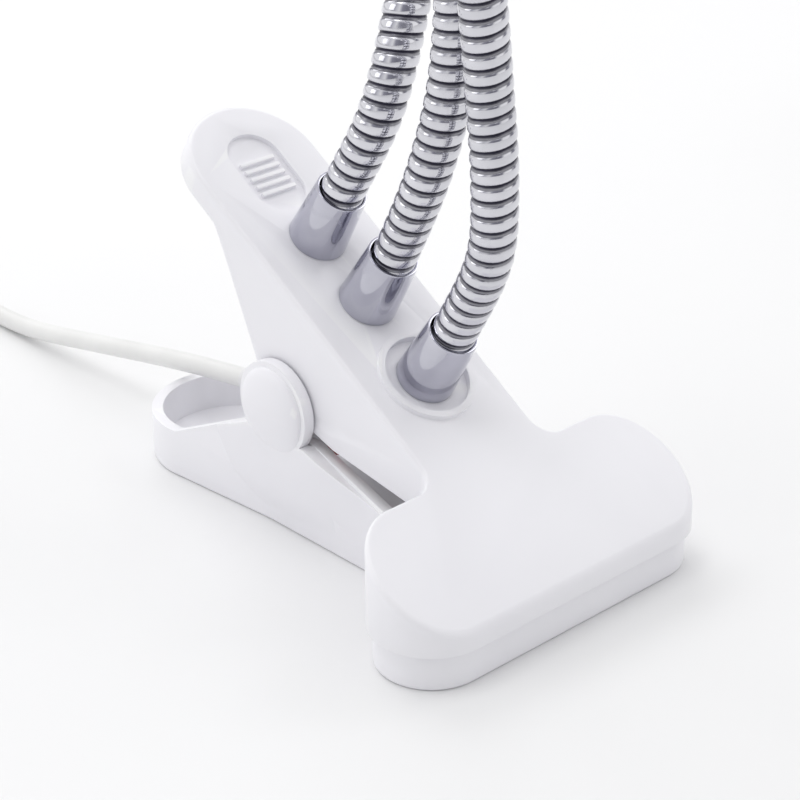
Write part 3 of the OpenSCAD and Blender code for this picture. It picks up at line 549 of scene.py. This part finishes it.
def merged_copy(node):
    bm = bmesh.new()
    bm.from_mesh(frame["nodes"][node].data)
    bmesh.ops.remove_doubles(bm, verts=bm.verts, dist=0.002 * MM)
    bmesh.ops.dissolve_limit(bm, angle_limit=radians(0.5), verts=bm.verts, edges=bm.edges)
    return bm


def soften(bm, offset, segments=2, angle=34, chosen=None):
    edges = [e for e in bm.edges if len(e.link_faces) == 2
             and e.calc_face_angle(0) > radians(angle) and (chosen is None or chosen(e))]
    bmesh.ops.bevel(bm, geom=edges, offset=offset * MM, segments=segments, profile=0.5,
                    affect="EDGES", clamp_overlap=True, material=-1)
    return bm


# %% [markdown]
# The upper half is one moulding: a T-shaped lid whose flat top slopes from the jaw up to the
# round handle. Moulded plastic has no knife edges, so the long outline of the top gets a broad
# rounding first, and every other corner a fine one. The ribbed grip and the ferrules' seats lie
# in the top too, but keep their small edges.

# %% Upper half
SLOPE = radians(32.5)
TIP_Y = -57
FRONT_H = 10
FERRULE_S = {"rear": 73, "middle": 58.5, "front": 42}
PLATE_NORMAL = Vector((0, -sin(SLOPE), cos(SLOPE)))
ON_FACE = 0.05
GRIP_HALF_W = 6.5
GRIP_FROM, GRIP_TO = 77, 98.5
SEAT_REACH = 9.6


def plate_point(s, h, x=0):
    return Vector((x, TIP_Y + s * cos(SLOPE) - h * sin(SLOPE),
                   FRONT_H + s * sin(SLOPE) + h * cos(SLOPE))) * MM


def on_plate(point):
    from_tip = point / MM - Vector((0, TIP_Y, FRONT_H))
    along = from_tip.y * cos(SLOPE) + from_tip.z * sin(SLOPE)
    return from_tip.x, along, from_tip.dot(PLATE_NORMAL)


def top_outline(e):
    for v in e.verts:
        x, s, h = on_plate(v.co)
        if abs(h) > ON_FACE or (abs(x) < GRIP_HALF_W and GRIP_FROM < s < GRIP_TO):
            return False
        if any(hypot(x, s - at) < SEAT_REACH for at in FERRULE_S.values()):
            return False
    return True


bm = merged_copy("upper_jaw")
soften(bm, 1.4, 4, chosen=top_outline)
soften(bm, 0.3, 2, 40)
add_piece(bm, "clip_upper_half", white_plastic, "clip_top", ["upper_jaw"])

# %% [markdown]
# The lower half is a tray with the other jaw. It gets its broad rounding where it stands, round
# the outline of its underside, but not in the pockets under the jaw.

# %% Lower half
POCKETS_HALF_W = 24
POCKETS_FROM, POCKETS_TO = -53.5, -40


def bottom_outline(e):
    for v in e.verts:
        x, y, z = v.co / MM
        if abs(z) > ON_FACE or (abs(x) < POCKETS_HALF_W and POCKETS_FROM < y < POCKETS_TO):
            return False
    return True


bm = merged_copy("lower_jaw")
soften(bm, 1.5, 4, chosen=bottom_outline)
soften(bm, 0.3, 2, 40)
add_piece(bm, "clip_lower_half", white_plastic, "base", ["lower_jaw"])

# %% [markdown]
# Each ear grows out of the wall below it. A grid of points over the wall, pushed outwards most
# near the pivot and less further away, gives that swelling without an edge. Its last row turns
# inwards along the top of the wall, but stays out of the recess where the inner ear turns.

# %% Ear fairings
PIVOT_Z = 24
WALL_X = 12.45
SWELL = 2.47
REACH = 27.5
FOOT_Z = 0.3
CREST_Z = 19.0
BELOW_CREST = 0.05
FRONT_SLOPE = 0.39
REAR_SLOPE = 0.477
RECESS_R = 8.6
RECESS_X = 12.95
COLUMNS, ROWS = 72, 24


def fade(low, high, value):
    return smoothstep((value - low) / (high - low))


def wall_top(y):
    front = CREST_Z + (y + 7.7) * FRONT_SLOPE
    rear = CREST_Z + 0.5 - (y - 6) * REAR_SLOPE
    return min(CREST_Z, front, rear) - BELOW_CREST


def wall_swell(y, z):
    return SWELL * (1 - fade(9, 29, hypot(y, z - PIVOT_Z))) * fade(FOOT_Z, 7.5, z)


def inner_x(y, z):
    return RECESS_X if hypot(y, z - PIVOT_Z) < RECESS_R else WALL_X - 0.25


for side, sign in (("left", -1), ("right", 1)):
    bm = bmesh.new()
    rows = []
    for j in range(ROWS + 1):
        rows.append([])
        for i in range(COLUMNS + 1):
            y = REACH * (2 * i / COLUMNS - 1)
            z = FOOT_Z + (wall_top(y) - FOOT_Z) * j / ROWS
            rows[-1].append(bm.verts.new(mm(sign * (WALL_X + wall_swell(y, z)), y, z)))
    rows.append([bm.verts.new((sign * inner_x(v.co.y / MM, v.co.z / MM) * MM, v.co.y, v.co.z))
                 for v in rows[-1]])
    for lower, upper in zip(rows, rows[1:]):
        for i in range(COLUMNS):
            corner = (lower[i], lower[i + 1], upper[i + 1], upper[i])
            bm.faces.new(corner if sign > 0 else corner[::-1])
    soften(bm, 0.3, 3, 50)
    add_piece(bm, "ear_fairing_" + side, white_plastic, "base")

# %% [markdown]
# Round pieces are turned, as on a lathe: a flat outline of radius and height is given slightly
# rounded corners, and spun once round the Z axis. The result is then placed by a matrix.

# %% Turning


def turned(name, outline, place, material, body, slot, nodes=(), rounding=0.2, steps=64,
           sharp=34, open_outline=False):
    bm = bmesh.new()
    verts = [bm.verts.new((r * MM, 0, z * MM)) for r, z in outline]
    pairs = list(zip(verts, verts[1:])) + ([] if open_outline else [(verts[-1], verts[0])])
    for a, b in pairs:
        bm.edges.new((a, b))
    if rounding:
        bmesh.ops.bevel(bm, geom=[v for v in verts if v.co.x > 0], offset=rounding * MM,
                        segments=2, profile=0.5, affect="VERTICES", clamp_overlap=True,
                        material=-1)
    bmesh.ops.spin(bm, geom=bm.verts[:] + bm.edges[:], cent=(0, 0, 0), axis=(0, 0, 1),
                   angle=2 * pi, steps=steps, use_merge=True)
    bmesh.ops.remove_doubles(bm, verts=bm.verts, dist=0.0005 * MM)
    bmesh.ops.recalc_face_normals(bm, faces=bm.faces)
    bm.transform(place)
    return add_piece(bm, name, material, body, nodes, sharp)


def plate_place(s, h=0):
    return aimed(plate_point(s, h), PLATE_NORMAL)


# %% [markdown]
# A ferrule is a tapered chrome socket that the gooseneck is pressed into. Below the plate it
# ends in a threaded stud, which a washer and a brass nut hold from inside. The thread is drawn
# as real ridges in the outline.

# %% Ferrules
NECK_R = 3.75
FERRULE_TOP_R = 4.4
FERRULE_FOOT_R = 5.1
THREAD = [(2.95 if k % 2 else 2.6, -6.9 + 0.35 * k) for k in range(20)]
# The ferrules wear the darker copy of the chrome, which paints shade into their reflections.
for side, s in FERRULE_S.items():
    sink = 0.4 if side == "front" else 0
    outline = ([(1.6, -7.2), (2.6, -7.2)] + THREAD
               + [(2.9, 0.05 - sink), (FERRULE_FOOT_R, 0.05 - sink), (FERRULE_FOOT_R, 0.5),
                  (FERRULE_TOP_R + 0.02, 11.6), (FERRULE_TOP_R, 12), (3.95, 12), (3.82, 11.7),
                  (3.82, 8.1), (1.6, 8.1)])
    turned("ferrule_turned_" + side, outline, plate_place(s), ferrule_chrome_painted_shade, "clip_top", "chrome",
           ["ferrule_" + side], rounding=0.08, steps=72, sharp=30)
for k, (side, s) in enumerate(FERRULE_S.items()):
    turned("washer_turned_" + side, [(3.1, -3.05), (6, -3.05), (6, -2.25), (3.1, -2.25)],
           plate_place(s), steel, "clip_top", "steel", ["ferrule_washers"] if k == 0 else [],
           rounding=0.12)
soft_nuts = soften(merged_copy("ferrule_nuts"), 0.25, 2)
add_piece(soft_nuts, "ferrule_nuts_soft", brass, "clip_top", ["ferrule_nuts"])

# %% [markdown]
# A gooseneck is strip wound in a long helix, so its rings are really one screw. One pitch of
# its outline is spun through one turn while it climbs, and copies of that turn are stacked into a
# long straight screw. The screw stores how deep in its groove each point lies. Later it is cut to
# length and bent along the route.

# %% Wound strip
PITCH = 2.7
STRIP = [(3.36, 0.0), (3.40, 0.14), (3.66, 0.3), (3.74, 0.6), (3.75, 1.1), (3.73, 1.6),
         (3.64, 1.95), (3.50, 2.08), (3.52, 2.3), (3.47, 2.46), (3.36, 2.56), (3.36, 2.7)]
TURN_STEPS = 28
LONGEST = 236


def wound_template():
    bm = bmesh.new()
    depth = bm.verts.layers.float.new("groove")
    verts = [bm.verts.new((r * MM, 0, (z - PITCH) * MM)) for r, z in STRIP]
    for a, b in zip(verts, verts[1:]):
        bm.edges.new((a, b))
    bmesh.ops.spin(bm, geom=bm.verts[:] + bm.edges[:], cent=(0, 0, 0), axis=(0, 0, 1),
                   dvec=(0, 0, PITCH / TURN_STEPS * MM), angle=2 * pi, steps=TURN_STEPS)
    turns = 1
    while turns * PITCH < LONGEST + 2 * PITCH:
        again = bmesh.ops.duplicate(bm, geom=bm.verts[:] + bm.edges[:] + bm.faces[:])["geom"]
        bmesh.ops.translate(bm, vec=(0, 0, turns * PITCH * MM),
                            verts=[v for v in again if isinstance(v, bmesh.types.BMVert)])
        turns *= 2
    bmesh.ops.remove_doubles(bm, verts=bm.verts, dist=0.005 * MM)
    bmesh.ops.recalc_face_normals(bm, faces=bm.faces)
    # groove depth of each point, which the gooseneck finish uses to paint shade into the grooves
    for v in bm.verts:
        r = hypot(v.co.x, v.co.y) / MM
        v[depth] = smoothstep((NECK_R - 0.06 - r) / 0.3)
    mesh = bpy.data.meshes.new("wound_template")
    bm.to_mesh(mesh)
    bm.free()
    return mesh


template = wound_template()
print("template faces", len(template.polygons))

# %% [markdown]
# Each route is a smooth curve through a few chosen points, the same ones that the CAD model
# uses. To bend the straight screw, every point keeps its place in a small frame that slides
# along the curve without twisting.

# %% Gooseneck routes
FERRULE_H = 12
NECK_ROUTES = {
    "rear": [(2.2, -7.4, 15.5), (6.8, -8.4, 31.5), (14, -6, 51), (23, -2, 73), (33, 2, 97),
             (43, 6, 122), (54, 10, 146), (67, 14, 163), (83, 18, 169), (97, 22, 160)],
    "middle": [(0.5, -8.2, 17.5), (1.6, -12, 34), (1.5, -12.5, 53), (-3, -9, 77),
               (-9, -1, 102), (-15, 10, 128), (-22, 22, 153), (-30, 36, 171),
               (-39, 53, 178), (-47, 68, 171)],
    "front": [(-0.5, -8.4, 15.6), (-2.1, -11, 30), (-4, -11.3, 47), (-8, -13, 70),
              (-13, -18, 95), (-19, -26, 120), (-25, -36, 144), (-32, -48, 162),
              (-40, -62, 168), (-48, -75, 159)]}
BEND_LOW = 5
BEND_HIGH = 8
PER_KNOT = 40


def route_knots(side):
    s = FERRULE_S[side]
    top = plate_point(s, FERRULE_H)
    return ([plate_point(s, 8.2), plate_point(s, FERRULE_H + 2)]
            + [top + mm(*step) for step in NECK_ROUTES[side]])


def curve_point(knots, t):
    k = min(int(t), len(knots) - 2)
    u = t - k
    b, c = knots[k], knots[k + 1]
    a = knots[k - 1] if k else 2 * b - c
    d = knots[k + 2] if k + 2 < len(knots) else 2 * c - b
    at = 0.5 * (2 * b + (c - a) * u + (2 * a - 5 * b + 4 * c - d) * u * u
                + (3 * b - a - 3 * c + d) * u ** 3)
    way = (c - a) + 2 * (2 * a - 5 * b + 4 * c - d) * u + 3 * (3 * b - a - 3 * c + d) * u * u
    return at, way.normalized()


def sliding_frames(knots):
    frames = []
    across = Vector((1, 0, 0))
    length = 0
    for i in range(PER_KNOT * (len(knots) - 1) + 1):
        at, way = curve_point(knots, i / PER_KNOT)
        if frames:
            length += (at - frames[-1][1]).length
        across = (across - way * across.dot(way)).normalized()
        frames.append((length, at, across, way.cross(across)))
    return frames


def bend_along(bm, frames):
    step = 0
    for v in sorted(bm.verts, key=lambda v: v.co.z):
        while step < len(frames) - 2 and frames[step + 1][0] < v.co.z:
            step += 1
        (l0, p0, a0, b0), (l1, p1, a1, b1) = frames[step], frames[step + 1]
        u = (v.co.z - l0) / (l1 - l0)
        v.co = (p0.lerp(p1, u) + a0.lerp(a1, u) * v.co.x + b0.lerp(b1, u) * v.co.y)


def wound_length(low, high):
    bm = bmesh.new()
    bm.from_mesh(template)
    for z, keep_above in ((low, True), (high, False)):
        bmesh.ops.bisect_plane(bm, geom=bm.verts[:] + bm.edges[:] + bm.faces[:],
                               plane_co=(0, 0, z), plane_no=(0, 0, 1), dist=1e-7,
                               clear_inner=keep_above, clear_outer=not keep_above)
    rims = [e for e in bm.edges if len(e.link_faces) == 1]
    bmesh.ops.holes_fill(bm, edges=rims, sides=0)
    return bm


neck_ends = {}
for side in NECK_ROUTES:
    knots = route_knots(side)
    frames = sliding_frames(knots)
    total = frames[-1][0]
    low_at, low_way = curve_point(knots, BEND_LOW)
    high_at, high_way = curve_point(knots, BEND_HIGH)
    middle = frames[int(PER_KNOT * (BEND_LOW + BEND_HIGH) / 2)][0]
    neck_ends[side] = curve_point(knots, len(knots) - 1)
    for part, low, high, bodies, at, way, stands_for in (
            ("lower", 0, middle, ("clip_top", side + "_mid"), low_at, low_way,
             [f"neck_{side}_foot", f"neck_{side}_mid"]),
            ("upper", middle, total, (side + "_mid", side + "_head"), high_at, high_way,
             [f"neck_{side}_tip"])):
        bm = wound_length(low, high)
        bend_along(bm, frames)
        piece = add_piece(bm, f"gooseneck_{side}_{part}", wound_chrome, None,
                          stands_for, sharp=50)
        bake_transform(piece)
    print(side, "gooseneck", round(total, 4), "m")

# %% [markdown]
# The lamp has three equal heads. Each is a chrome collar on the gooseneck's end, a bell-shaped
# shade, a round light board, a mirror cone, a frosted lens, and a bezel that plugs in.

# %% Heads
SHADE_R = 21
SHADE_LEN = 46
SHADE_Z = 7
SHADE_WALL = 1.4
BARREL_R = 10
MOUTH = SHADE_Z + SHADE_LEN
BOARD_Z = SHADE_Z + 17


def bell(z):
    if z < 10:
        return BARREL_R
    return BARREL_R + (SHADE_R - BARREL_R) * (1 - cos(pi / 2 * (z - 10) / (SHADE_LEN - 10)))


def barrel_fins():
    fins = []
    for k in range(4):
        z = 3.2 + 1.7 * k
        fins += [(BARREL_R, z), (BARREL_R - 0.45, z + 0.25), (BARREL_R - 0.45, z + 0.75),
                 (BARREL_R, z + 1.0)]
    return fins


bell_out = [(bell(z), z) for z in range(11, SHADE_LEN - 1)] + [(bell(45.3), 45.3)]
bell_in = [(bell(z) - SHADE_WALL, z) for z in range(SHADE_LEN - 1, 9, -1)]
shade_outline = ([(3.1, 0), (8.2, 0), (10, 1.8)] + barrel_fins() + bell_out
                 + [(SHADE_R - 0.1, SHADE_LEN), (SHADE_R - SHADE_WALL, SHADE_LEN)] + bell_in
                 + [(BARREL_R - SHADE_WALL, SHADE_WALL), (3.1, SHADE_WALL)])
LENS_R = bell(SHADE_LEN - 4) - SHADE_WALL - 0.1
PLUG_R = bell(SHADE_LEN - 2) - SHADE_WALL - 0.2
CONE_R = LENS_R - 0.5
lens_rings = [(LENS_R - 0.8 - 0.75 * k, 0.06 if k % 2 else -0.10) for k in range(22)]
for side, (end, way) in neck_ends.items():
    body = side + "_head"
    at_head = aimed(end, way)

    def head_piece(part, outline, material, slot, shift=0, **extra):
        turned(f"{side}_head_{part}", outline, at_head @ Matrix.Translation(mm(0, 0, shift)),
               material, body, slot, **extra)

    head_piece("collar", [(3.82, -4), (4.3, -4), (4.4, -3.7), (5.05, 5.2), (5.1, 5.55),
                          (6.1, 5.6), (6.1, 7), (2.9, 7), (2.9, 10.6), (1.6, 10.6), (1.6, 0),
                          (3.82, 0)],
               chrome, "chrome", nodes=[f"head_{side}_collar"], rounding=0.15, steps=72)
    head_piece("shade", shade_outline, white_plastic, "white_shell", SHADE_Z,
               nodes=[f"head_{side}_shade"], rounding=0.12, steps=96, sharp=38)
    head_piece("bezel", [(PLUG_R - 1.7, 0), (PLUG_R, 0), (PLUG_R, 1.7), (SHADE_R, 1.72),
                         (SHADE_R, 2.6), (PLUG_R - 1.2, 2.6), (PLUG_R - 1.7, 2.2)],
               white_plastic, "white_shell", MOUTH - 1.7, nodes=[f"head_{side}_bezel"],
               rounding=0.2, steps=96)
    head_piece("lens", [(0, 0), (LENS_R, 0), (LENS_R, 1.2)]
               + [(r, 1.3 + rise) for r, rise in lens_rings] + [(0, 1.3)],
               frosted, "lens", MOUTH - 3.2, nodes=[f"head_{side}_lens"], rounding=0.05,
               steps=96, sharp=60, open_outline=True)
    head_piece("cone", [(4, 0), (4.9, 0), (CONE_R, 23.3), (CONE_R - 0.9, 23.3)],
               mirror_foil, "reflector", BOARD_Z + 1.7, nodes=[f"head_{side}_reflector"],
               rounding=0.15, steps=96)
    bm = soften(merged_copy(f"head_{side}_board"), 0.2, 2)
    add_piece(bm, side + "_head_board", board_white, body,
              [f"head_{side}_board"])

# %% [markdown]
# The pivot is hidden by a round white cover on each side. It is domed like a lens, and its
# lower half is drawn out and sinks into the sloping root of the ear, so it starts as a
# flattened ball whose lower points are moved.

# %% Pivot covers
PIVOT = mm(0, 0, PIVOT_Z)
EAR_X = 14.9
COVER_R = 7.35
COVER_H = 2.15
for side, sign in (("left", -1), ("right", 1)):
    bm = bmesh.new()
    bmesh.ops.create_uvsphere(bm, u_segments=72, v_segments=36, radius=1)
    bmesh.ops.rotate(bm, verts=bm.verts, cent=(0, 0, 0), matrix=Matrix.Rotation(pi / 2, 3, "Y"))
    for v in bm.verts:
        low = max(-v.co.z, 0)
        bulge = v.co.x * COVER_H * (1 - 0.35 * low)
        drop = COVER_R * v.co.z * (1 + 0.25 * low)
        v.co = mm(sign * EAR_X + bulge - sign * 1.3 * low ** 3, COVER_R * v.co.y, drop)
    bm.transform(Matrix.Translation(PIVOT))
    add_piece(bm, "pivot_cover_" + side, white_plastic, "base",
              ["pivot_cap_" + side])

# %% [markdown]
# The spring is a wound wire with two legs: the lower leg presses on the tray floor, the upper
# one under the handle. The upper leg turns with the handle, and because it leaves the coil along
# a tangent, it can be its own piece that turns round the pivot.

# %% Spring and leads


def wire(name, points, radius, material, body, nodes=()):
    holder = tube_curve(name + "_line", points, radius, around=3, along=3)
    bpy.context.view_layer.update()
    mesh = bpy.data.meshes.new_from_object(
        holder.evaluated_get(bpy.context.evaluated_depsgraph_get()))
    bpy.data.objects.remove(holder)
    bm = bmesh.new()
    bm.from_mesh(mesh)
    bmesh.ops.remove_doubles(bm, verts=bm.verts, dist=0.0005 * MM)
    return add_piece(bm, name, material, body, nodes)


COIL_TURNS = 10
COIL_STEP = 1.6
WIRE_R = 0.7
COIL_R = 4.3
COIL_KNOTS = 16
coil_half = COIL_TURNS * COIL_STEP / 2
steps = (COIL_TURNS - 1) * COIL_KNOTS + 5
winding = []
for i in range(steps + 1):
    a = radians(-90 - 360 * i / COIL_KNOTS)
    winding.append((-coil_half + COIL_STEP * i / COIL_KNOTS, COIL_R * cos(a),
                    PIVOT_Z + COIL_R * sin(a)))
lower_leg = [(-coil_half - 0.1, 26, 3.3), (-coil_half - 0.1, 17, 6.7)]
end_x, end_y, end_z = winding[-1]
upper_leg = winding[-4:] + [(end_x + 0.3, end_y + 5, end_z + 7.4),
                            (coil_half - 0.6, 10, 41.2), (coil_half - 0.4, 16, 52.2)]
wire("spring_coil", lower_leg + winding, WIRE_R, spring_steel, "base",
     ["torsion_spring"])
wire("spring_upper_leg", upper_leg, WIRE_R, spring_steel, "clip_top")
for node, material in (("lead_red", lead_red), ("lead_black", lead_black)):
    frame["nodes"][node].data.materials.clear()
    frame["nodes"][node].data.materials.append(material)

# %% [markdown]
# The remaining CAD pieces have the right shape already. They get fine rounded corners, because
# light catches a real corner as a thin line, and their own finish.

# %% Softened pieces
SOFTENED = [
    ("jaw_pad_lower", rubber, "pad_rubber", 0.12), ("jaw_pad_upper", rubber, "pad_rubber", 0.12),
    ("pivot_pin", steel, "steel", 0.25), ("cord_clamp", inner_plastic, "inner_plastic", 0.3),
    ("clamp_screws", steel, "steel", 0.12), ("cord_grommet", relief_rubber, "white_shell", 0.2),
    ("switch_bottom", white_plastic, "white_shell", 0.9),
    ("switch_top", white_plastic, "white_shell", 0.9),
    ("switch_button", button_grey, "button_grey", 0.45),
    ("switch_board", board_green, "board_green", 0.1), ("cord_tie", tie_black, "tie_black", 0.12),
    ("plug_body", white_plastic, "white_shell", 0.8), ("plug_shell", chrome, "chrome", 0.1),
    ("plug_tongue", tongue_blue, "tongue_blue", 0.1)]
for node, material, slot, offset in SOFTENED:
    bm = soften(merged_copy(node), offset, 3)
    add_piece(bm, node + "_soft", material, frame["nodes"][node]["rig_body"], [node])

# %% [markdown]
# Last, the scene is brought up to date.

print("cord laid as two curves")

# %% Finish
bpy.context.view_layer.update()
